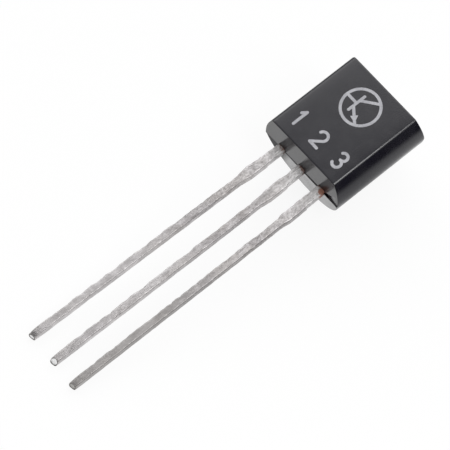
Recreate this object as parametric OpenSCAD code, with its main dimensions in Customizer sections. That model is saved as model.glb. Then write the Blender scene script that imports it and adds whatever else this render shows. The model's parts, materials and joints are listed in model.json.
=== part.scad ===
// Small-signal transistor in a three-lead moulded package.
// It lies on its round back with the marked flat up, and rests on the lead tips
// and on the lower edge of the body. Leads run towards -X.

/* [Body] */
// Radius of the round back
body_r = 2.32; // [2.1:0.02:2.6]
// Height of the flat above the centre line of the round back
flat_h = 1.3; // [1.1:0.05:1.5]
// Length of the body at its parting line
body_len = 4.84; // [4.5:0.02:5.6]
// Draft of the end faces from the parting line to the flat, in degrees
front_draft = 7; // [2:0.5:12]
// Draft of the end faces from the parting line to the back, in degrees
back_draft = 4; // [1:0.5:8]
// Radius on the long edges of the flat
edge_r = 0.15; // [0.05:0.01:0.2]

/* [Leads] */
// Distance between the centre lines of neighbouring leads
pitch = 1.27; // [1.22:0.01:1.35]
// Thickness of the strip that the leads are stamped from
strip_t = 0.38; // [0.3:0.02:0.48]
// Depth of the strip's middle plane under the centre line of the round back
strip_drop = 0.18; // [0:0.02:0.4]
// Length of the leads outside the body
lead_len = 13.2; // [10:0.2:20]
// Width of the leads from their shoulder to the tip
lead_w = 0.33; // [0.26:0.01:0.4]
// Width of the leads where they leave the body
shoulder_w = 0.4; // [0.4:0.02:0.56]
// Length of the wide stretch beside the body
shoulder_len = 1.85; // [1.2:0.05:3]
// Height of the sheared dam bar stub on each side of the shoulder
dam_stub = 0.03; // [0.01:0.01:0.1]
// Length of the dam bar stub, at the far end of the wide stretch
dam_len = 0.9; // [0.2:0.05:1.1]
// Length over which the stub tapers to the lead
taper_len = 0.5; // [0.1:0.05:1]
// Slant of the emitter lead's sheared tip, in degrees
emitter_slant = 14; // [0:1:35]
// Slant of the collector lead's sheared tip, in degrees
collector_slant = 31; // [0:1:35]
// Slant of the base lead's sheared tip, in degrees
base_slant = 18; // [0:1:35]
// Skew of the sheared tips, which shortens their side towards the base lead, in degrees
tip_skew = 13; // [0:1:20]
// Outward splay of the emitter lead, in degrees
emitter_splay = 0.9; // [-1:0.1:2]
// Splay of the collector lead towards the emitter lead, in degrees
collector_splay = 0.1; // [-1:0.1:1]
// Outward splay of the base lead, in degrees
base_splay = 0.1; // [-1:0.1:2]

/* [Inside the body] */
// Distance from the body's end to the bond posts
post_inset = 0.7; // [0.5:0.1:1]
// Length of a bond post along the lead
post_len = 0.8; // [0.6:0.1:1]
// Gap between a bond post and the collector lead's neck
post_gap = 0.5; // [0.3:0.05:0.6]
// Epoxy between a bond post and the side of the body
post_wall = 0.3; // [0.2:0.05:0.5]
// Gap between the bond posts and the chip pad
pad_gap = 0.3; // [0.2:0.05:0.4]
// Width of the chip pad
pad_w = 1.8; // [1.4:0.1:2.4]
// Length of the chip pad along the lead
pad_len = 1.9; // [1.2:0.1:2]
// Side of the square chip
chip_w = 0.6; // [0.4:0.05:0.8]
// Thickness of the chip
chip_t = 0.2; // [0.15:0.05:0.3]
// Thickness of the solder under the chip
solder_t = 0.03; // [0.02:0.01:0.05]
// Width of solder that shows round the chip
solder_rim = 0.04; // [0.02:0.02:0.1]
// Diameter of the bond wires
wire_d = 0.05; // [0.03:0.01:0.06]
// Diameter of the ball that a bond wire starts from
ball_d = 0.12; // [0.1:0.01:0.16]
// Height of that ball
ball_h = 0.04; // [0.03:0.01:0.06]
// Height of a bond wire's arch
wire_rise = 0.45; // [0.35:0.05:0.6]
// Distance between the centres of the two balls on the chip
ball_spacing = 0.3; // [0.2:0.05:0.35]

/* [Marking] */
// Width of the ink strokes
ink_w = 0.13; // [0.08:0.01:0.18]
// Thickness of the ink
ink_t = 0.015; // [0.01:0.005:0.03]
// Height of the pin numbers
digit_h = 0.76; // [0.5:0.05:0.9]
// Width of the pin numbers
digit_w = 0.44; // [0.3:0.02:0.6]
// Distance from the flat's edge above the leads to the pin numbers
digit_margin = 0.55; // [0.3:0.05:0.7]
// Radius of the ring round the transistor symbol
symbol_r = 0.85; // [0.6:0.05:0.95]
// Distance from the flat's far edge to the symbol
symbol_margin = 0.5; // [0.3:0.05:0.7]

/* [Hidden] */
$fn = 64;
epoxy = [0.11, 0.105, 0.11];
tin = [0.72, 0.71, 0.69];
silicon = [0.36, 0.37, 0.42];
solder = [0.6, 0.6, 0.58];
gold = [0.86, 0.66, 0.28];
ink = [0.7, 0.7, 0.72];
over = 1; // how far a cutting shape runs past what it cuts

// The working frame has X along the leads, with 0 at the parting line's lead end,
// and Z square to the flat, with 0 on the centre line of the round back.
strip_z = -strip_drop;
strip_top = strip_z + strip_t / 2;
strip_bottom = strip_z - strip_t / 2;
front_inset = (flat_h - strip_z) * tan(front_draft);
back_inset = (body_r + strip_z) * tan(back_draft);

// Bond posts and chip pad
wall_y = sqrt(pow(body_r, 2) - pow(strip_bottom, 2)) - post_wall;
post_y0 = shoulder_w / 2 + post_gap;
post_end = post_inset + post_len;
pad_x0 = post_end + pad_gap;
chip_x = pad_x0 + pad_len / 2;
chip_z0 = strip_top + solder_t;
chip_top = chip_z0 + chip_t;
emitter_ball = [chip_x, ball_spacing / 2];
base_ball = [chip_x, -ball_spacing / 2];
stitch_x = post_inset + post_len / 2;
stitch_y = (post_y0 + wall_y) / 2;

// At rest the lead tips and the lower edge of the round back touch the ground
foot = [back_inset, -body_r];
tip = [-lead_len, strip_bottom];
rest_tilt = atan2(tip[1] - foot[1], foot[0] - tip[0]);
function lain(p) = [
    p[0] * cos(rest_tilt) - p[1] * sin(rest_tilt),
    p[0] * sin(rest_tilt) + p[1] * cos(rest_tilt)
];
far_end = max(
    lain([body_len, strip_z])[0],
    lain([body_len - back_inset, -body_r])[0],
    lain([body_len - front_inset, flat_h])[0]
);
mid_x = (far_end + lain(tip)[0]) / 2;
lift = -lain(foot)[1];

// Turns the working frame into the part's own frame, as it lies
module lying() {
    translate([-mid_x, 0, lift]) rotate([0, -rest_tilt, 0]) children();
}

// ---- Body ----

// Keeps a shape on the right side, or mirrors it to the left one
module on_side(side) {
    if (side > 0) children();
    else mirror([1, 0]) children();
}

// Section across the leads: a circle cut by the flat, with rounded edges
module body_section() {
    edge_y = sqrt(pow(body_r - edge_r, 2) - pow(flat_h - edge_r, 2));
    edge_z = flat_h - edge_r;
    reach = body_r / (body_r - edge_r);
    difference() {
        circle(r = body_r);
        translate([-body_r - over, flat_h]) square([2 * (body_r + over), body_r]);
        for (side = [-1, 1]) on_side(side) polygon([
            [edge_y, edge_z], [edge_y, flat_h + over],
            [edge_y + body_r, flat_h + over], [edge_y * reach, edge_z * reach]
        ]);
    }
    for (side = [-1, 1]) translate([side * edge_y, edge_z]) circle(r = edge_r);
}

// Side view of the mould: both end faces lean in from the parting line
module drafted_outline() {
    top = flat_h + over;
    bottom = -body_r - over;
    top_in = (top - strip_z) * tan(front_draft);
    bottom_in = (strip_z - bottom) * tan(back_draft);
    rotate([90, 0, 0]) translate([0, 0, -body_r - over])
        linear_extrude(2 * (body_r + over)) polygon([
            [0, strip_z], [top_in, top], [body_len - top_in, top],
            [body_len, strip_z], [body_len - bottom_in, bottom], [bottom_in, bottom]
        ]);
}

module moulded_block() {
    intersection() {
        rotate([90, 0, 90]) translate([0, 0, -over])
            linear_extrude(body_len + 2 * over) body_section();
        drafted_outline();
    }
}

module body() {
    color(epoxy) lying() difference() {
        moulded_block();
        emitter_strip();
        collector_strip();
        base_strip();
        solder_layer();
        chip_block();
        bond_wire(emitter_ball, 1);
        bond_wire(base_ball, -1);
        ink_print();
    }
}

// ---- Leads ----

// Outline of a lead outside the body, with its root at the origin
module lead_outline() {
    dam_y = shoulder_w / 2 + dam_stub;
    side = [
        [post_inset / 2, shoulder_w / 2], [dam_len - shoulder_len, shoulder_w / 2],
        [dam_len - shoulder_len, dam_y], [-shoulder_len, dam_y],
        [-shoulder_len - taper_len, lead_w / 2], [-lead_len, lead_w / 2]
    ];
    last = len(side) - 1;
    polygon(concat(side, [for (i = [0:last]) [side[last - i][0], -side[last - i][1]]]));
}

// Stamps a lead from the strip and shears its tip; children() is its inner outline
module stamped_lead(root_y, splay, slant) {
    difference() {
        translate([0, 0, strip_bottom]) linear_extrude(strip_t) {
            translate([0, root_y]) rotate(-splay) lead_outline();
            children();
        }
        translate([0, root_y, strip_bottom]) rotate([0, 0, -splay])
            translate([-lead_len, lead_w / 2, 0]) rotate([0, slant, tip_skew])
            translate([-2 * over, -2 * over, -over]) cube([2 * over, 3 * over, strip_t + 3 * over]);
    }
}

// Neck and bond post of an outer lead, on the side given by its sign
module post_outline(side) {
    translate([0, side * pitch - shoulder_w / 2]) square([post_end, shoulder_w]);
    translate([post_inset, side > 0 ? post_y0 : -wall_y]) square([post_len, wall_y - post_y0]);
}

module emitter_strip() {
    stamped_lead(pitch, emitter_splay, emitter_slant) post_outline(1);
}

module base_strip() {
    stamped_lead(-pitch, -base_splay, base_slant) post_outline(-1);
}

module collector_strip() {
    stamped_lead(0, collector_splay, collector_slant) {
        translate([0, -shoulder_w / 2]) square([pad_x0 + pad_len / 2, shoulder_w]);
        translate([pad_x0, -pad_w / 2]) square([pad_len, pad_w]);
    }
}

module emitter_lead() {
    color(tin) lying() emitter_strip();
}

module collector_lead() {
    color(tin) lying() collector_strip();
}

module base_lead() {
    color(tin) lying() base_strip();
}

// ---- Chip and bond wires ----

module solder_layer() {
    side = chip_w + 2 * solder_rim;
    translate([chip_x - side / 2, -side / 2, strip_top]) cube([side, side, solder_t]);
}

module chip_block() {
    translate([chip_x - chip_w / 2, -chip_w / 2, chip_z0]) cube([chip_w, chip_w, chip_t]);
}

// Wire that arches from inside its ball on the chip down to the bond post
module bond_wire(ball, side) {
    run = [stitch_x - ball[0], side * stitch_y - ball[1]];
    start_z = chip_top + ball_h / 2;
    drop = start_z - strip_top;
    chord = norm([norm(run), drop]);
    arch_r = (pow(chord / 2, 2) + pow(wire_rise, 2)) / (2 * wire_rise);
    half_arch = asin(chord / 2 / arch_r);
    past_post = wire_d / arch_r * 180 / PI;
    difference() {
        translate([ball[0], ball[1], start_z])
            rotate([0, atan2(drop, norm(run)), atan2(run[1], run[0])])
            translate([chord / 2, 0, wire_rise - arch_r]) rotate([90, 0, 0])
            rotate([0, 0, 90 - half_arch - past_post])
            rotate_extrude(angle = 2 * half_arch + past_post) translate([arch_r, 0]) circle(d = wire_d);
        translate([0, -body_r, strip_top - over]) cube([body_len, 2 * body_r, over]);
    }
    translate([ball[0], ball[1], chip_top]) cylinder(d = ball_d, h = ball_h);
}

module silicon_chip() {
    color(silicon) lying() chip_block();
}

module chip_solder() {
    color(solder) lying() solder_layer();
}

module emitter_wire() {
    color(gold) lying() bond_wire(emitter_ball, 1);
}

module base_wire() {
    color(gold) lying() bond_wire(base_ball, -1);
}

// ---- Marking ----

// Straight ink stroke with round ends
module stroke(a, b) {
    run = b - a;
    translate([a[0], a[1], 0]) rotate([0, 0, atan2(run[1], run[0])]) {
        translate([0, -ink_w / 2, 0]) cube([norm(run), ink_w, ink_t]);
        cylinder(d = ink_w, h = ink_t);
        translate([norm(run), 0, 0]) cylinder(d = ink_w, h = ink_t);
    }
}

// Curved ink stroke with round ends, from one angle round to another
module arc_stroke(centre, r, from, to) {
    translate([centre[0], centre[1], 0]) {
        rotate([0, 0, from]) rotate_extrude(angle = to - from)
            translate([r - ink_w / 2, 0]) square([ink_w, ink_t]);
        for (end = [from, to]) rotate([0, 0, end]) translate([r, 0, 0])
            cylinder(d = ink_w, h = ink_t);
    }
}

module digit_one() {
    stroke([0, 0], [0, digit_h]);
    stroke([0, digit_h], [-digit_w / 3, digit_h * 3 / 4]);
}

module digit_two() {
    r = digit_w / 2;
    rise = digit_h - r;
    reach = norm([r, rise]);
    lean = atan2(rise, r) - asin(r / reach);
    straight = sqrt(pow(reach, 2) - pow(r, 2));
    arc_stroke([0, rise], r, lean - 90, 165);
    stroke([-r, 0], [-r + straight * cos(lean), straight * sin(lean)]);
    stroke([-r, 0], [r, 0]);
}

module digit_three() {
    upper_r = digit_h * 0.24;
    lower_r = digit_h / 2 - upper_r;
    arc_stroke([0, digit_h - upper_r], upper_r, -90, 150);
    arc_stroke([0, lower_r], lower_r, -150, 90);
}

// Circuit symbol: a ring, the base bar, and two slanting legs, one with an arrow head
module transistor_symbol() {
    bar_x = -symbol_r * 0.3;
    bar_y = symbol_r * 0.52;
    foot_y = symbol_r * 0.2;
    meet_r = symbol_r - ink_w / 4;
    leg = [meet_r * cos(58) - bar_x, meet_r * sin(58) - foot_y];
    difference() {
        cylinder(r = symbol_r + ink_w / 2, h = ink_t);
        translate([0, 0, -over]) cylinder(r = symbol_r - ink_w / 2, h = ink_t + 2 * over);
    }
    stroke([bar_x, -bar_y], [bar_x, bar_y]);
    stroke([-meet_r, 0], [bar_x, 0]);
    for (up = [-1, 1]) stroke([bar_x, up * foot_y], [bar_x + leg[0], up * (foot_y + leg[1])]);
    translate([bar_x, -foot_y, 0]) rotate([0, 0, -atan2(leg[1], leg[0])])
        arrow_head(norm(leg) - ink_w / 2);
}

// Solid triangle that lies along +X, with its point at the given distance
module arrow_head(point) {
    size = ink_w * 2.6;
    linear_extrude(ink_t) polygon([[point, 0], [point - size, size / 2], [point - size, -size / 2]]);
}

// The ink lies flush in the flat. It is read with the leads pointing down, so its
// upright runs along +X.
module ink_print() {
    digit_x = front_inset + digit_margin;
    symbol_x = body_len - front_inset - symbol_margin - symbol_r;
    ink_z = flat_h - ink_t;
    translate([digit_x, pitch, ink_z]) rotate([0, 0, -90]) digit_one();
    translate([digit_x, 0, ink_z]) rotate([0, 0, -90]) digit_two();
    translate([digit_x, -pitch, ink_z]) rotate([0, 0, -90]) digit_three();
    translate([symbol_x, 0, ink_z]) rotate([0, 0, -90]) transistor_symbol();
}

module marking() {
    color(ink) lying() ink_print();
}

body();
emitter_lead();
collector_lead();
base_lead();
silicon_chip();
chip_solder();
emitter_wire();
base_wire();
marking();
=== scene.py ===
"""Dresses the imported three-lead transistor: leads, chip, bond wires, moulded body and print."""

import json
import math
import random

import bmesh
import bpy
from mathutils import Matrix, Vector


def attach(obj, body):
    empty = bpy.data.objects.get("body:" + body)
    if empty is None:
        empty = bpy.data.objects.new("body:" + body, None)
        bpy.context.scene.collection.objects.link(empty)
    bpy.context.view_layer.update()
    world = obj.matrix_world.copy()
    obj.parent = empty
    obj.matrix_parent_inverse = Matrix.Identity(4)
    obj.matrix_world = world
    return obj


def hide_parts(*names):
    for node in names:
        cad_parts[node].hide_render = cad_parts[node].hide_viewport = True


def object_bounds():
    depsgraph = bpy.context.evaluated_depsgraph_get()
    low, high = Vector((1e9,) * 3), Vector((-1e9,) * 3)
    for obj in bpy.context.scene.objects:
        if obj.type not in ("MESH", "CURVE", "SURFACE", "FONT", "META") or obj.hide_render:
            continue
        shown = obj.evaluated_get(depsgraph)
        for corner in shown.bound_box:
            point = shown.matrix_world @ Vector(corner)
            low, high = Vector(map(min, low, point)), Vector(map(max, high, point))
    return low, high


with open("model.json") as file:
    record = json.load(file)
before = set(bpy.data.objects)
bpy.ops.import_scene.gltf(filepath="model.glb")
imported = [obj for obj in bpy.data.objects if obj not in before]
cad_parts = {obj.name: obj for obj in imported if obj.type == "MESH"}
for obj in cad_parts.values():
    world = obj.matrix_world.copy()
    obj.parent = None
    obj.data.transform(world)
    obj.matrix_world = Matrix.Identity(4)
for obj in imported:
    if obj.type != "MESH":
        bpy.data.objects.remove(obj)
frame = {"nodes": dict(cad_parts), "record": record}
cad_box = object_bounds()


# ---- Leads ----
# Three flat leads are stamped from one strip of steel about 0.4 mm thick and tinned, and the
# body is moulded round their inner ends. Dam bars join them until then, so each wide shoulder
# keeps a long, low stub on both sides. The tips are sheared off last, at a slant.

MM = 0.001
mounts = {mount["name"]: mount for mount in frame["record"]["mounts"]}
up = Vector(mounts["marked_flat"]["axis"]).normalized()
across = Vector((0, 1, 0))
along = across.cross(up)
turned = Matrix((along, across, up)).transposed().to_4x4()
# Takes millimetres along the leads, across them and above the marked flat to the frame
laid = Matrix.Translation(mounts["marked_flat"]["pos_m"]) @ turned @ Matrix.Scale(MM, 4)

# Sizes are in millimetres up to the floor's section, and in metres there
torn_edge = 0.045
clean_edge = 0.01
even_run = 0.2
fade_run = 0.3
corner_round = 0.05
tip_run = 0.9
tip_round = 0.11
rolled_round = 0.15
roll_run = 0.3
tip_dish = 0.015
ring_step = 0.05
kink_gap = 0.004

# The sheared edges' unevenness: lengths and places in millimetres from the body, and shares
wave_count = 6
wave_lengths = (0.35, 2.2)
nick_count = 9
nick_places = (0.8, 12.6)
nick_lengths = (0.2, 0.7)
nick_shares = (-1, 0.4)
nick_steepness = 8

# Other counts, shares and an angle
bow_skew = 0.6
tip_rings = 27
corner_steps = 4
flat_shares = (0.12, 0.88)
oval_wall = 0.06
sharp_angle = math.radians(40)


def solid_of(node):
    """Corners, in millimetres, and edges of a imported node."""
    mesh = frame["nodes"][node].data
    to_part = laid.inverted()
    corners = [to_part @ vertex.co for vertex in mesh.vertices]
    return corners, [tuple(edge.vertices) for edge in mesh.edges]


def cut_across(solid, x):
    """Lowest y and z and highest y and z where a node is cut square to its length."""
    corners, edges = solid
    found = []
    for first, second in edges:
        a, b = corners[first], corners[second]
        if (a.x - x) * (b.x - x) < 0:
            found.append(a.lerp(b, (x - a.x) / (b.x - a.x)))
    ys = [point.y for point in found]
    zs = [point.z for point in found]
    return min(ys), min(zs), max(ys), max(zs)


def rounded_bar(low_y, low_z, high_y, high_z, radius, rolled):
    """Outline of a flat bar as (y, z) points; its first corner has a radius of its own."""
    corners = (
        (high_y, high_z, -1, -1, rolled), (low_y, high_z, 1, -1, radius),
        (low_y, low_z, 1, 1, radius), (high_y, low_z, -1, 1, radius),
    )
    arcs = []
    for quarter, (y, z, in_y, in_z, size) in enumerate(corners):
        turns = [math.radians(90 * (quarter + step / corner_steps)) for step in range(corner_steps + 1)]
        arcs.append([
            (y + size * (in_y + math.cos(turn)), z + size * (in_z + math.sin(turn))) for turn in turns
        ])
    points = []
    for arc, after in zip(arcs, arcs[1:] + arcs[:1]):
        points += arc
        for share in flat_shares:
            points.append([start + (end - start) * share for start, end in zip(arc[-1], after[0])])
    return points


def ragged_edge(draw, depth):
    """How far a sheared edge stands out of line at a distance along the lead."""
    waves = []
    for _ in range(wave_count):
        waves.append((draw.uniform(*wave_lengths), draw.uniform(0, 2 * math.pi)))
    nicks = []
    for _ in range(nick_count):
        nicks.append((draw.uniform(*nick_places), draw.uniform(*nick_lengths), draw.uniform(*nick_shares)))
    wave_height = depth / 7

    def offset(x):
        total = wave_height * sum(math.sin(x * 2 * math.pi / length + phase) for length, phase in waves)
        for place, length, share in nicks:
            along_nick = (place - x) / length
            if 0 < along_nick < 1:
                total += depth * share * along_nick * min(1, (1 - along_nick) * nick_steepness)
        return total

    return offset


def skin(name, rings, cover):
    """Object whose smooth skin runs from ring to ring; cover() closes its two ends."""
    work = bmesh.new()
    loops = [[work.verts.new(laid @ Vector(point)) for point in ring] for ring in rings]
    for near, far in zip(loops, loops[1:]):
        for place, corner in enumerate(near):
            after = (place + 1) % len(near)
            work.faces.new((corner, near[after], far[after], far[place])).smooth = True
    cover(work, loops[0])
    cover(work, loops[-1])
    bmesh.ops.recalc_face_normals(work, faces=work.faces)
    mesh = bpy.data.meshes.new(name)
    work.to_mesh(mesh)
    work.free()
    mesh.set_sharp_from_angle(angle=sharp_angle)
    piece = bpy.data.objects.new(name, mesh)
    bpy.context.scene.collection.objects.link(piece)
    return piece


def flat_cover(work, loop):
    """Closes an end with one flat face."""
    work.faces.new(loop)


def stamped_lead(name, node, seed, bow, roll_drop, oval_share, cut):
    """One lead, from its inner end to its sheared tip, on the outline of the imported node."""
    draw = random.Random(seed)
    torn, clean = ragged_edge(draw, torn_edge), ragged_edge(draw, clean_edge)
    solid = solid_of(node)
    xs = sorted({round(corner.x, 4) for corner in solid[0]})
    full_x = xs[0] + tip_run
    inner_x = xs[-1]

    def limits(x):
        """The bar's section at x, with its sheared edges uneven outside the body."""
        low_y, low_z, high_y, high_z = cut_across(solid, x)
        outside = min(1, max(0, (body_end_x - even_run - x) / fade_run))
        way = min(1, max(0, (body_end_x - x) / (body_end_x - full_x)))
        bent = bow * math.sin(math.pi * way ** bow_skew)
        low_y -= outside * clean(body_end_x - x) + bent
        high_y += outside * torn(body_end_x - x) - bent
        return low_y, low_z, high_y, high_z

    count = int((inner_x - full_x) / ring_step)
    stations = {full_x + ring_step * step for step in range(count + 1)}
    for corner_x in xs:
        stations |= {corner_x - kink_gap, corner_x + kink_gap}
    stations = sorted(x for x in stations if full_x <= x < inner_x)[::-1]
    rings = []
    for x in stations:
        rings.append([(x, y, z) for y, z in rounded_bar(*limits(x), corner_round, corner_round)])

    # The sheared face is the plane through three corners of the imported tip
    low_y, low_z, high_y, high_z = limits(full_x)
    middle_z = (low_z + high_z) / 2
    tip = [corner for corner in solid[0] if corner.x < full_x]
    heel = min(tip, key=lambda corner: corner.x)
    beside = min((corner for corner in tip if corner.z < middle_z), key=lambda corner: corner.y)
    above = max((corner for corner in tip if corner.z > middle_z), key=lambda corner: corner.y)
    skew = (beside.x - heel.x) / (beside.y - heel.y)
    slant = (above.x - heel.x) / (above.z - heel.z)

    def sheared_x(y, z):
        """Where the plane of the shear crosses the lead."""
        return heel.x + skew * (y - heel.y) + slant * (z - heel.z)

    for step in range(1, tip_rings + 1):
        share = step / tip_rings
        rolled = max(0, 1 - (1 - share) * tip_run / roll_run) ** 2
        outline = rounded_bar(
            low_y + (beside.y - low_y) * share, low_z,
            high_y + (heel.y - high_y) * share, high_z - roll_drop * rolled,
            corner_round + (tip_round - corner_round) * share ** 3,
            corner_round + (rolled_round - corner_round) * share ** 3,
        )
        ring = []
        for y, z in outline:
            ring.append((full_x + (sheared_x(y, z) - full_x) * share, y, z))
        rings.append(ring)

    # The bare steel shows as a dished oval inside the rim
    sheared = rings[-1]
    half_y = (heel.y - beside.y) / 2
    half_z = (high_z - low_z) / 2
    dish = ((oval_share, 0.0), (oval_share - oval_wall, tip_dish), (oval_share / 2, 1.3 * tip_dish))
    for share, depth in dish:
        ring = []
        for _, y, z in sheared:
            wide = max(-1, min(1, (y - heel.y) / half_y + 1))
            tall = max(-1, min(1, (z - middle_z) / half_z))
            y = heel.y + half_y * (share * wide * math.sqrt(1 - tall ** 2 / 2) - 1)
            z = middle_z + half_z * share * tall * math.sqrt(1 - wide ** 2 / 2)
            ring.append((sheared_x(y, z) + depth, y, z))
        rings.append(ring)
    lead = skin(name, rings, flat_cover)
    lead.data.materials.append(tin)
    # The second slot holds the rim's painted shade
    lead.data.materials.append(rim_painted_shade)
    lead.data.materials.append(cut)

    # Faces run ring by ring from the inner end, and the two end covers come last, inner one first
    around = len(sheared)
    covers = (len(rings) - 1) * around
    rim = covers - len(dish) * around
    for face in lead.data.polygons:
        if face.index >= rim:
            face.material_index = 1 if face.index < rim + around else 2
    lead.data.polygons[covers].material_index = 0
    return lead


def add(tree, kind, sockets=None, **settings):
    """Adds a shader node; sockets gives an input's value, or the output it is joined to."""
    node = tree.nodes.new("ShaderNode" + kind)
    for name, value in settings.items():
        setattr(node, name, value)
    for name, value in (sockets or {}).items():
        if isinstance(value, bpy.types.NodeSocket):
            tree.links.new(value, node.inputs[name])
        else:
            node.inputs[name].default_value = value
    return node


def mixed(tree, mask, first, second):
    """Colour that goes from the first to the second as the mask rises."""
    node = add(tree, "Mix", {0: mask, 6: first, 7: second}, data_type="RGBA")
    return node.outputs[2]


def ranged(tree, value, low, high, start=0.0, end=1.0, curve="LINEAR"):
    """A value's run from start to end turned into one from low to high, and held beyond it."""
    node = add(tree, "MapRange", {
        "Value": value, "From Min": start, "From Max": end, "To Min": low, "To Max": high,
    }, interpolation_type=curve)
    return node.outputs[0]


def joined(tree, operation, first, second):
    """Sum, product or other arithmetic of two values."""
    node = add(tree, "Math", {0: first, 1: second}, operation=operation)
    return node.outputs[0]


def new_group(name, inputs, outputs):
    """Empty shader node group with its own inputs and outputs, as (name, kind) pairs."""
    group = bpy.data.node_groups.new(name, "ShaderNodeTree")
    for socket, kind in inputs:
        group.interface.new_socket(name=socket, in_out="INPUT", socket_type="NodeSocket" + kind)
    for socket, kind in outputs:
        group.interface.new_socket(name=socket, in_out="OUTPUT", socket_type="NodeSocket" + kind)
    return group, group.nodes.new("NodeGroupInput"), group.nodes.new("NodeGroupOutput")


def patches_group():
    """Soft patches of a given size in millimetres; thin, long sizes give streaks."""
    group, given, result = new_group(
        "patches", [("Place", "Vector"), ("Size", "Vector"), ("Low", "Float"), ("High", "Float")],
        [("Mask", "Float")],
    )
    place = add(group, "VectorMath", {
        0: given.outputs["Place"], 1: given.outputs["Size"],
    }, operation="DIVIDE")
    noise = add(group, "TexNoise", {
        "Vector": place.outputs[0], "Scale": 1.0, "Detail": 3.0, "Roughness": 0.6,
    })
    mask = add(group, "MapRange", {
        "Value": noise.outputs[0], "From Min": given.outputs["Low"], "From Max": given.outputs["High"],
    }, interpolation_type="SMOOTHSTEP")
    group.links.new(mask.outputs[0], result.inputs["Mask"])
    return group


patches = patches_group()


def patchy(tree, place, size, low=0.4, high=0.6):
    """Mask of the patches group at one size."""
    node = add(tree, "Group", node_tree=patches)
    tree.links.new(place, node.inputs["Place"])
    node.inputs["Size"].default_value = size
    node.inputs["Low"].default_value = low
    node.inputs["High"].default_value = high
    return node.outputs["Mask"]


def blank_material(name):
    """Material with its tree, its Principled shader and the place in part millimetres."""
    material = bpy.data.materials.new(name)
    material.use_nodes = True
    tree = material.node_tree
    shader = tree.nodes["Principled BSDF"]
    seen = add(tree, "TexCoord")
    part = add(tree, "Mapping", {
        "Vector": seen.outputs["Object"], "Location": laid.to_translation(),
        "Rotation": turned.to_euler(), "Scale": (MM, MM, MM),
    }, vector_type="TEXTURE")
    return material, tree, shader, part.outputs[0]


def raised(tree, height, depth, normal=None):
    """Normal of a surface whose height mask stands for a depth in millimetres."""
    node = add(tree, "Bump", {"Height": height, "Distance": depth * MM, "Strength": 1.0})
    if normal:
        tree.links.new(normal, node.inputs["Normal"])
    return node.outputs[0]


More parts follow.
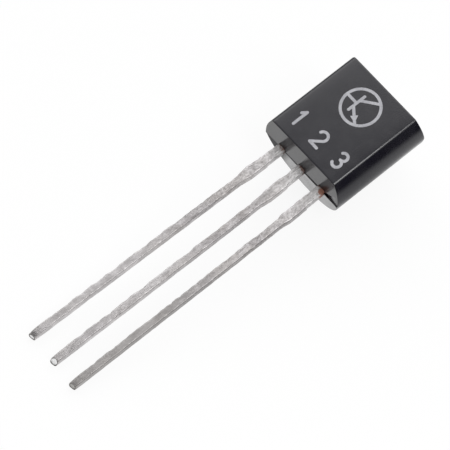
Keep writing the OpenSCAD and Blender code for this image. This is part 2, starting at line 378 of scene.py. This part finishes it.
def tinned_steel():
    """Dull, mottled tin, speckled by the body and given a painted highlight there; darker far out on the
    base lead, with a burnt brown root.
    """
    material, tree, shader, place = blank_material("tinned_steel")
    parts = add(tree, "SeparateXYZ", {0: place})
    outward = joined(tree, "SUBTRACT", body_end_x, parts.outputs["X"])
    # Painted highlight: for its first few millimetres out of the body the tin is painted paler, and it is
    # glossier there
    highlight_and_gloss = ranged(tree, outward, 0.5, 0.0, 0.6, 3.5)
    far = ranged(tree, outward, 0.0, 1.0, 5.0, 8.0)
    # Painted light on the root: its first millimetre is painted near white and less metallic, to lift it
    # out of the body's shade
    root_painted_light = ranged(tree, outward, 1.0, 0.0, 0.3, 1.0)
    speckled = ranged(tree, outward, 0.34, 0.1, 3.0, 8.0)
    clouds = patchy(tree, place, (1.1, 0.4, 0.4), 0.38, 0.62)
    warm = patchy(tree, place, (2.1, 1.3, 1.3), 0.44, 0.58)
    mottle = patchy(tree, place, (0.55, 0.35, 0.35), 0.4, 0.6)
    speckle = ranged(tree, patchy(tree, place, (0.1, 0.07, 0.07), 0.44, 0.56), 1, 0)
    pits = patchy(tree, place, (0.16, 0.1, 0.1), 0.57, 0.63)
    lines = patchy(tree, place, (1.6, 0.03, 0.03), 0.52, 0.66)
    worn = patchy(tree, place, (2.6, 1.6, 1.6), 0.5, 0.58)
    grains = joined(tree, "MULTIPLY", speckle, speckled)
    deep = joined(tree, "MULTIPLY", pits, speckled)
    scores = joined(tree, "MULTIPLY", lines, worn)
    # The base lead turns darker far out from the body
    base_lead_darker_far_out = joined(tree, "MULTIPLY", far, ranged(tree, parts.outputs["Y"], 0.0, 0.42, -0.9, -1.1))
    colour = mixed(tree, clouds, (0.48, 0.46, 0.465, 1), (0.64, 0.62, 0.625, 1))
    colour = mixed(tree, ranged(tree, warm, 0, 0.4), colour, (0.46, 0.43, 0.4, 1))
    # Next come the painted highlight by the body and the painted light on the root
    colour = mixed(tree, highlight_and_gloss, colour, (0.8, 0.78, 0.78, 1))
    colour = mixed(tree, root_painted_light, colour, (0.95, 0.93, 0.93, 1))
    colour = mixed(tree, ranged(tree, far, 0, 0.5), colour, (0.72, 0.7, 0.705, 1))
    colour = mixed(tree, base_lead_darker_far_out, colour, (0.2, 0.19, 0.17, 1))
    colour = mixed(tree, ranged(tree, mottle, 0, 0.36), colour, (0.3, 0.285, 0.28, 1))
    colour = mixed(tree, grains, colour, (0.24, 0.22, 0.22, 1))
    colour = mixed(tree, deep, colour, (0.12, 0.11, 0.105, 1))
    colour = mixed(tree, ranged(tree, scores, 0, 0.4), colour, (0.16, 0.15, 0.145, 1))

    # The burnt root has an uneven edge, and is longer and redder on the base lead's outer side
    outer = ranged(tree, parts.outputs["Y"], 0, 1, -1.25, -1.33)
    drift = ranged(tree, patchy(tree, place, (0.25, 0.2, 0.2), 0.3, 0.7), 0.2, -0.06)
    uneven = joined(tree, "ADD", outward, drift)
    root = ranged(tree, joined(tree, "SUBTRACT", uneven, ranged(tree, outer, 0, 0.08)), 1, 0, 0.1, 0.2)
    burnt = mixed(tree, outer, (0.24, 0.13, 0.1, 1), (0.34, 0.11, 0.05, 1))
    colour = mixed(tree, ranged(tree, root, 0, 0.9), colour, burnt)
    tree.links.new(colour, shader.inputs["Base Color"])
    # The root's painted light also takes most of the metal away
    metal = joined(tree, "MINIMUM", ranged(tree, root, 1, 0.2), ranged(tree, root_painted_light, 1, 0.1))
    tree.links.new(metal, shader.inputs["Metallic"])
    dull = add(tree, "Mix", {0: highlight_and_gloss, 2: ranged(tree, grains, 0.46, 0.8), 3: 0.2}, data_type="FLOAT")
    tree.links.new(dull.outputs[0], shader.inputs["Roughness"])
    fine = raised(tree, grains, -0.006)
    scored = raised(tree, scores, -0.004, fine)
    tree.links.new(raised(tree, clouds, 0.006, scored), shader.inputs["Normal"])
    return material


def bare_steel(name, colour, roughness):
    """Steel that the shear has laid open, with fine tear marks."""
    material, tree, shader, place = blank_material(name)
    tears = patchy(tree, place, (0.05, 0.02, 0.06), 0.3, 0.7)
    darker = tuple(0.7 * value for value in colour[:3]) + (1,)
    tree.links.new(mixed(tree, tears, darker, colour), shader.inputs["Base Color"])
    shader.inputs["Metallic"].default_value = 1.0
    tree.links.new(ranged(tree, tears, roughness, roughness + 0.1), shader.inputs["Roughness"])
    tree.links.new(raised(tree, tears, 0.002), shader.inputs["Normal"])
    return material


body_corners = solid_of("body")[0]
half_body = max(corner.x for corner in body_corners)
body_end_x = -half_body
tin = tinned_steel()
# The dark rim round each sheared oval is painted shade on the rolled burr
rim_painted_shade = bare_steel("rim_painted_shade", (0.16, 0.15, 0.14, 1), 0.4)
bare_cut = bare_steel("bare_cut", (0.95, 0.95, 0.95, 1), 0.25)
dull_cut = bare_steel("dull_cut", (0.5, 0.49, 0.47, 1), 0.4)
lead_pieces = []
# Each lead bows by its own amount, and its shear rolls one corner over and leaves a bare oval
for seed, role, bow, roll_drop, oval_share, cut in (
    (3, "emitter", 0.01, 0.06, 0.7, bare_cut),
    (4, "collector", 0.05, 0.0, 0.88, bare_cut),
    (5, "base", 0.045, 0.015, 0.8, dull_cut),
):
    lead = stamped_lead(role + "_lead_tinned", role + "_lead", seed, bow, roll_drop, oval_share, cut)
    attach(lead, "root")
    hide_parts(role + "_lead")
    lead_pieces.append(lead)


# ---- Chip and its solder ----
# A square of silicon sits on the collector's pad in a thin bed of solder.
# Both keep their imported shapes.


def sawn_silicon():
    """Blue-grey silicon with faint saw marks."""
    material, tree, shader, place = blank_material("sawn_silicon")
    marks = patchy(tree, place, (0.3, 0.008, 0.01), 0.35, 0.65)
    colour = mixed(tree, marks, (0.1, 0.11, 0.15, 1), (0.15, 0.16, 0.2, 1))
    tree.links.new(colour, shader.inputs["Base Color"])
    tree.links.new(ranged(tree, marks, 0.15, 0.3), shader.inputs["Roughness"])
    tree.links.new(raised(tree, marks, 0.001), shader.inputs["Normal"])
    return material


def wetted_solder():
    """Grey solder, wavy where it set."""
    material, tree, shader, place = blank_material("wetted_solder")
    waves = patchy(tree, place, (0.12, 0.12, 0.12), 0.3, 0.7)
    colour = mixed(tree, waves, (0.4, 0.4, 0.39, 1), (0.52, 0.52, 0.5, 1))
    tree.links.new(colour, shader.inputs["Base Color"])
    shader.inputs["Metallic"].default_value = 1.0
    tree.links.new(ranged(tree, waves, 0.3, 0.45), shader.inputs["Roughness"])
    tree.links.new(raised(tree, waves, 0.004), shader.inputs["Normal"])
    return material


def finish_node(node, material):
    """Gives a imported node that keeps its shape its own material."""
    mesh = frame["nodes"][node].data
    mesh.materials.clear()
    mesh.materials.append(material)


finish_node("silicon_chip", sawn_silicon())
finish_node("chip_solder", wetted_solder())


# ---- Bond wires ----
# A gold wire runs from a ball on the chip to each outer lead's post.
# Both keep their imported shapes.


def drawn_gold():
    """Gold wire with faint drawing marks."""
    material, tree, shader, place = blank_material("drawn_gold")
    marks = patchy(tree, place, (0.02, 0.02, 0.02), 0.35, 0.65)
    colour = mixed(tree, marks, (0.75, 0.52, 0.18, 1), (0.86, 0.64, 0.26, 1))
    tree.links.new(colour, shader.inputs["Base Color"])
    shader.inputs["Metallic"].default_value = 1.0
    tree.links.new(ranged(tree, marks, 0.18, 0.3), shader.inputs["Roughness"])
    tree.links.new(raised(tree, marks, 0.001), shader.inputs["Normal"])
    return material


gold = drawn_gold()
finish_node("emitter_wire", gold)
finish_node("base_wire", gold)


# ---- Moulded body ----
# Black epoxy is pressed round the leads in a two-part mould whose halves meet slightly out of
# line. Both end faces lean in from the parting line, and the marked flat cuts off the front.

# The round back's middle follows from the lowest corner and a side corner of the parting line
parting_z = max(body_corners, key=lambda corner: corner.x).z
at_parting = [corner for corner in body_corners if abs(corner.z - parting_z) < 0.001]
beside = max(at_parting, key=lambda corner: corner.y)
lowest = min(body_corners, key=lambda corner: corner.z)
drop = beside.z - lowest.z
centre_z = lowest.z + (beside.y ** 2 + drop ** 2) / drop / 2
body_radius = max(corner.y for corner in body_corners)
flat_end_x = max(corner.x for corner in body_corners if corner.z > -0.001)
back_end_x = max(corner.x for corner in body_corners if corner.z < lowest.z + 0.001)
front_lean = (half_body - flat_end_x) / -parting_z
back_lean = (half_body - back_end_x) / drop

edge_round = 0.15
end_round = 0.025
lip_height = 0.001
lip_width = 0.05
ledge = 0.045
ledge_start = 0.6
ink_proud = 0.005
flat_sag = 0.012
crown_power = 8
face_ring = 0.02
side_ring = 0.05
arc_steps = 56
edge_steps = 8
lip_shares = (-1, -0.8, -0.3, 0.1, 0.4, 0.8, 1)
crown_shares = (0.98, 0.95, 0.9, 0.85, 0.8, 0.7, 0.55, 0.3, 0.0)
end_turns = (0, 22, 45, 67, 90)


def lip_drop(z):
    """How far the surface lies under the lip's crest: level by the parting line, then sloping off."""
    return lip_height * min(1, max(0, abs(z - parting_z) / lip_width * 2 - 0.6))


def half_section(inset):
    """Right half of the section, from the bottom to the middle of the flat, drawn in by inset."""
    edge_z = -ink_proud - flat_sag - edge_round
    edge_y = math.sqrt((body_radius - edge_round) ** 2 - (edge_z - centre_z) ** 2)
    edge_angle = math.atan2(edge_z - centre_z, edge_y)
    parting_angle = math.asin((parting_z - centre_z) / body_radius)
    lip_angle = lip_width / body_radius
    arc = edge_angle + math.pi / 2
    angles = {-math.pi / 2 + arc * step / arc_steps for step in range(arc_steps + 1)}
    angles = {angle for angle in angles if abs(angle - parting_angle) > lip_angle * 1.2}
    angles |= {parting_angle + lip_angle * share for share in lip_shares}
    points = []
    for angle in sorted(angles):
        z = centre_z + (body_radius - inset) * math.sin(angle)
        radius = body_radius - inset - lip_drop(z) / 2
        points.append((radius * math.cos(angle), centre_z + radius * math.sin(angle)))
    crown_slope = crown_power * flat_sag / edge_y
    for step in range(1, edge_steps + 1):
        angle = edge_angle + (math.pi / 2 - crown_slope - edge_angle) * step / edge_steps
        radius = edge_round - inset
        points.append((edge_y + radius * math.cos(angle), edge_z + radius * math.sin(angle)))
    for share in crown_shares:
        points.append((edge_y * share, -ink_proud - inset - flat_sag * share ** crown_power))
    return points


def section_ring(inset, away, end):
    """Ring of the body at one end: drawn in by inset, and away from the end face by away."""
    half = half_section(inset)
    whole = half + [(-y, z) for y, z in half[-2:0:-1]]
    ring = []
    for y, z in whole:
        lean = front_lean if z > parting_z else back_lean
        reach = half_body - abs(z - parting_z) * lean - lip_drop(z) - away
        if end < 0 and z > parting_z + lip_width / 4:
            reach -= ledge * (ledge_start - y) / (ledge_start + body_radius)
        ring.append((end * reach, y, z))
    return ring


def part_z(corner):
    """Height of a mesh corner above the marked flat, in millimetres."""
    return (laid.inverted() @ corner.co).z


def end_cover(work, loop):
    """Closes an end face: flat above and below the lip, and in strips across it."""
    count = len(loop)
    heights = [part_z(corner) - parting_z for corner in loop[:count // 2]]
    near_lip = [place for place, height in enumerate(heights) if abs(height) < lip_width * 1.1]
    first, last = near_lip[0], near_lip[-1]
    for place in range(first, last):
        work.faces.new((loop[place], loop[place + 1], loop[count - place - 1], loop[count - place]))
    work.faces.new(loop[last:count - last + 1])
    work.faces.new(loop[count - first:] + loop[:first + 1])


def moulded_body():
    """The block, with rounded ends, before the leads and the chip are taken out of it."""
    rings = []
    steps = [(end_round + face_ring, 0.0)]
    for turn in map(math.radians, end_turns):
        steps.append((end_round * (1 - math.sin(turn)), end_round * (1 - math.cos(turn))))
    steps.append((0.0, end_round + side_ring))
    for inset, away in steps:
        rings.append(section_ring(inset, away, -1))
    for inset, away in steps[::-1]:
        rings.append(section_ring(inset, away, 1))
    return skin("epoxy_body", rings, end_cover)


def carve(piece, cutters):
    """Takes the cutters' shapes out of a piece and keeps the result as its mesh."""
    for cutter in cutters:
        cut = piece.modifiers.new(cutter.name, "BOOLEAN")
        cut.operation = "DIFFERENCE"
        cut.solver = "EXACT"
        cut.object = cutter
    bpy.context.view_layer.update()
    seen = piece.evaluated_get(bpy.context.evaluated_depsgraph_get())
    mesh = bpy.data.meshes.new_from_object(seen)
    piece.modifiers.clear()
    piece.data = mesh
    mesh.set_sharp_from_angle(angle=sharp_angle)
    for face in mesh.polygons:
        face.material_index = 0


def black_epoxy():
    """Glossy black epoxy with a faint mould grain, cloudy gloss and a few hairlines."""
    material, tree, shader, place = blank_material("black_epoxy")
    grain = patchy(tree, place, (0.05, 0.05, 0.05), 0.3, 0.7)
    clouds = patchy(tree, place, (0.8, 0.8, 0.8), 0.35, 0.65)
    hairs = patchy(tree, place, (0.9, 0.02, 0.02), 0.64, 0.7)
    colour = mixed(tree, clouds, (0.011, 0.0105, 0.016, 1), (0.015, 0.0145, 0.02, 1))
    colour = mixed(tree, ranged(tree, hairs, 0, 0.3), colour, (0.04, 0.04, 0.045, 1))
    tree.links.new(colour, shader.inputs["Base Color"])
    shader.inputs["IOR"].default_value = 1.58
    tree.links.new(ranged(tree, clouds, 0.13, 0.2), shader.inputs["Roughness"])
    tree.links.new(raised(tree, grain, 0.0006), shader.inputs["Normal"])
    return material


body = moulded_body()
body.data.materials.append(black_epoxy())
# The bond wires are finer than the cut can follow cleanly, so they lie bedded in the epoxy
carve(body, lead_pieces + [frame["nodes"][node] for node in ("silicon_chip", "chip_solder")])
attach(body, "root")
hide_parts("body")


# ---- Marking ----
# Pale ink is printed on the flat: a transistor symbol, and a number above each lead.
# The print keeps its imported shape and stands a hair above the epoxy.


def pale_ink():
    """Matt grey ink, thin in places."""
    material, tree, shader, place = blank_material("pale_ink")
    thin = patchy(tree, place, (0.09, 0.09, 0.09), 0.5, 0.75)
    clouds = patchy(tree, place, (0.5, 0.5, 0.5), 0.35, 0.65)
    colour = mixed(tree, clouds, (0.4, 0.4, 0.43, 1), (0.5, 0.5, 0.53, 1))
    colour = mixed(tree, ranged(tree, thin, 0, 0.5), colour, (0.2, 0.2, 0.22, 1))
    tree.links.new(colour, shader.inputs["Base Color"])
    shader.inputs["Roughness"].default_value = 0.7
    tree.links.new(raised(tree, thin, 0.002), shader.inputs["Normal"])
    return material


finish_node("marking", pale_ink())


# ---- Floor, light and camera ----
# The part lies on a white table. Light comes softly from all round, and more of it from
# behind the emitter's side, with a lamp over the base lead's side. The room is darker
# towards the leads and near the horizon, so the glossy sides have something to reflect.

floor_size = 2.0
glow_share = 0.9

# Where the table changes for gloss, in metres along the leads or across them
body_begins = (0.0044, 0.0056)
root_begins = (0.0034, 0.0037)
past_emitter = (0.0014, 0.0019)
past_base = (-0.01, 0.0)


def white_table():
    """White table whose shadows are softened, and which is darker in places to gloss."""
    material = bpy.data.materials.new("white_table")
    material.use_nodes = True
    tree = material.node_tree
    tree.nodes.clear()
    path = add(tree, "LightPath")
    shiny = joined(tree, "MAXIMUM", path.outputs["Is Glossy Ray"], path.outputs["Is Transmission Ray"])
    spot = add(tree, "NewGeometry")
    parts = add(tree, "SeparateXYZ", {0: spot.outputs["Position"]})

    # Part of the paint glows white: for the camera all over, and for gloss beside the leads
    by_leads = ranged(tree, parts.outputs["X"], 0.95, 0.1, *body_begins)
    to_gloss = joined(tree, "MULTIPLY", shiny, by_leads)
    to_camera = ranged(tree, path.outputs["Is Camera Ray"], 0, glow_share)
    softening = joined(tree, "MAXIMUM", to_camera, to_gloss)
    paint = add(tree, "BsdfDiffuse", {"Color": (0.95, 0.95, 0.95, 1)})
    glow = add(tree, "Emission", {"Color": (1, 1, 1, 1), "Strength": 1.0})
    softened = add(tree, "MixShader", {0: softening, 1: paint.outputs[0], 2: glow.outputs[0]})

    # Gloss sees it black far past the base's side, then one grey, then clear beside the body, and dark
    # again beside the emitter's root; the grey and the dark by the root are painted shadow that only
    # reflections show
    nearness = ranged(tree, parts.outputs["Y"], 0, 1, *past_base)
    fade = add(tree, "ValToRGB", {0: nearness})
    fade.color_ramp.interpolation = "EASE"
    for place, level in ((0.05, 1.0), (0.45, 0.4), (0.66, 0.4), (0.84, 0.0)):
        fade.color_ramp.elements.new(place).color = (level, level, level, 1)
    fade.color_ramp.elements.remove(fade.color_ramp.elements[0])
    fade.color_ramp.elements.remove(fade.color_ramp.elements[-1])
    dark = add(tree, "Emission", {"Strength": 0.0})
    # Painted shadow beside the emitter's root, for gloss only
    outer = ranged(tree, parts.outputs["Y"], 0, 0.8, *past_emitter)
    by_root = ranged(tree, parts.outputs["X"], 0, 1, *root_begins)
    corner = joined(tree, "MULTIPLY", outer, by_root)
    darkened = joined(tree, "MULTIPLY", joined(tree, "MAXIMUM", fade.outputs[0], corner), shiny)
    both = add(tree, "MixShader", {0: darkened, 1: softened.outputs[0], 2: dark.outputs[0]})
    out = add(tree, "OutputMaterial")
    tree.links.new(both.outputs[0], out.inputs["Surface"])
    return material


def flat_sheet(name, corners, material):
    """Stage piece with one face."""
    mesh = bpy.data.meshes.new(name)
    mesh.from_pydata(corners, [], [range(len(corners))])
    mesh.materials.append(material)
    sheet = bpy.data.objects.new(name, mesh)
    bpy.context.scene.collection.objects.link(sheet)


floor_z = cad_box[0][2]
square = ((-1, -1), (1, -1), (1, 1), (-1, 1))
flat_sheet("table", [(x * floor_size, y * floor_size, floor_z) for x, y in square], white_table())


def studio_room():
    """White to the camera; to the part, dimmer towards the leads and brighter behind them."""
    world = bpy.data.worlds.new("studio")
    world.use_nodes = True
    tree = world.node_tree
    seen = add(tree, "TexCoord")
    parts = add(tree, "SeparateXYZ", {0: seen.outputs["Generated"]})
    lengthways = ranged(tree, parts.outputs["X"], 0.16, 0.55, -0.35, -0.02, "SMOOTHSTEP")
    behind = add(tree, "VectorMath", {
        0: seen.outputs["Generated"], 1: (0.8, 0.6, 0.0),
    }, operation="DOT_PRODUCT")
    window = ranged(tree, behind.outputs["Value"], 0.0, 1.5, 0.22, 0.46, "SMOOTHSTEP")
    horizon = ranged(tree, parts.outputs["Z"], 0.02, 1.0, 0.02, 0.35, "SMOOTHSTEP")
    dim = joined(tree, "MULTIPLY", joined(tree, "ADD", lengthways, window), horizon)
    path = add(tree, "LightPath")
    level = add(tree, "Mix", {0: path.outputs["Is Camera Ray"], 2: dim, 3: 1.0}, data_type="FLOAT")
    tree.links.new(level.outputs[0], tree.nodes["Background"].inputs["Strength"])
    tree.nodes["Background"].inputs["Color"].default_value = (1, 1, 1, 1)
    return world


def towards(azimuth, elevation):
    """Direction from the part, turned from the base's side and raised, both in degrees."""
    azimuth = math.radians(azimuth)
    elevation = math.radians(elevation)
    level = math.cos(elevation)
    return Vector((math.sin(azimuth) * level, -math.cos(azimuth) * level, math.sin(elevation)))


def soft_box(name, facing, away, width, height, radiance):
    """Oblong lamp that faces the part from a direction; its sizes are in metres."""
    data = bpy.data.lights.new(name, "AREA")
    data.shape = "RECTANGLE"
    data.size = width
    data.size_y = height
    data.energy = radiance * math.pi * width * height
    lamp = bpy.data.objects.new(name, data)
    bpy.context.scene.collection.objects.link(lamp)
    lamp.location = facing * away
    lamp.rotation_euler = facing.to_track_quat("Z", "Y").to_euler()


bpy.context.scene.world = studio_room()
soft_box("side_lamp", towards(5.6, 56), away=0.3, width=0.08, height=0.2, radiance=5.6)

target = Vector((0.00002, 0.00006, 0.0017))
view = towards(-42.2, 63.0)
roll = math.radians(3.9)
distance = 0.072
camera = bpy.data.objects.new("camera", bpy.data.cameras.new("camera"))
bpy.context.scene.collection.objects.link(camera)
camera.data.lens = 138.8
camera.data.clip_start = 0.001
camera.location = target + view * distance
aim = (-view).to_track_quat("-Z", "Y").to_matrix() @ Matrix.Rotation(roll, 3, "Z")
camera.rotation_euler = aim.to_euler()
bpy.context.scene.camera = camera
bpy.context.scene.view_settings.view_transform = "Standard"
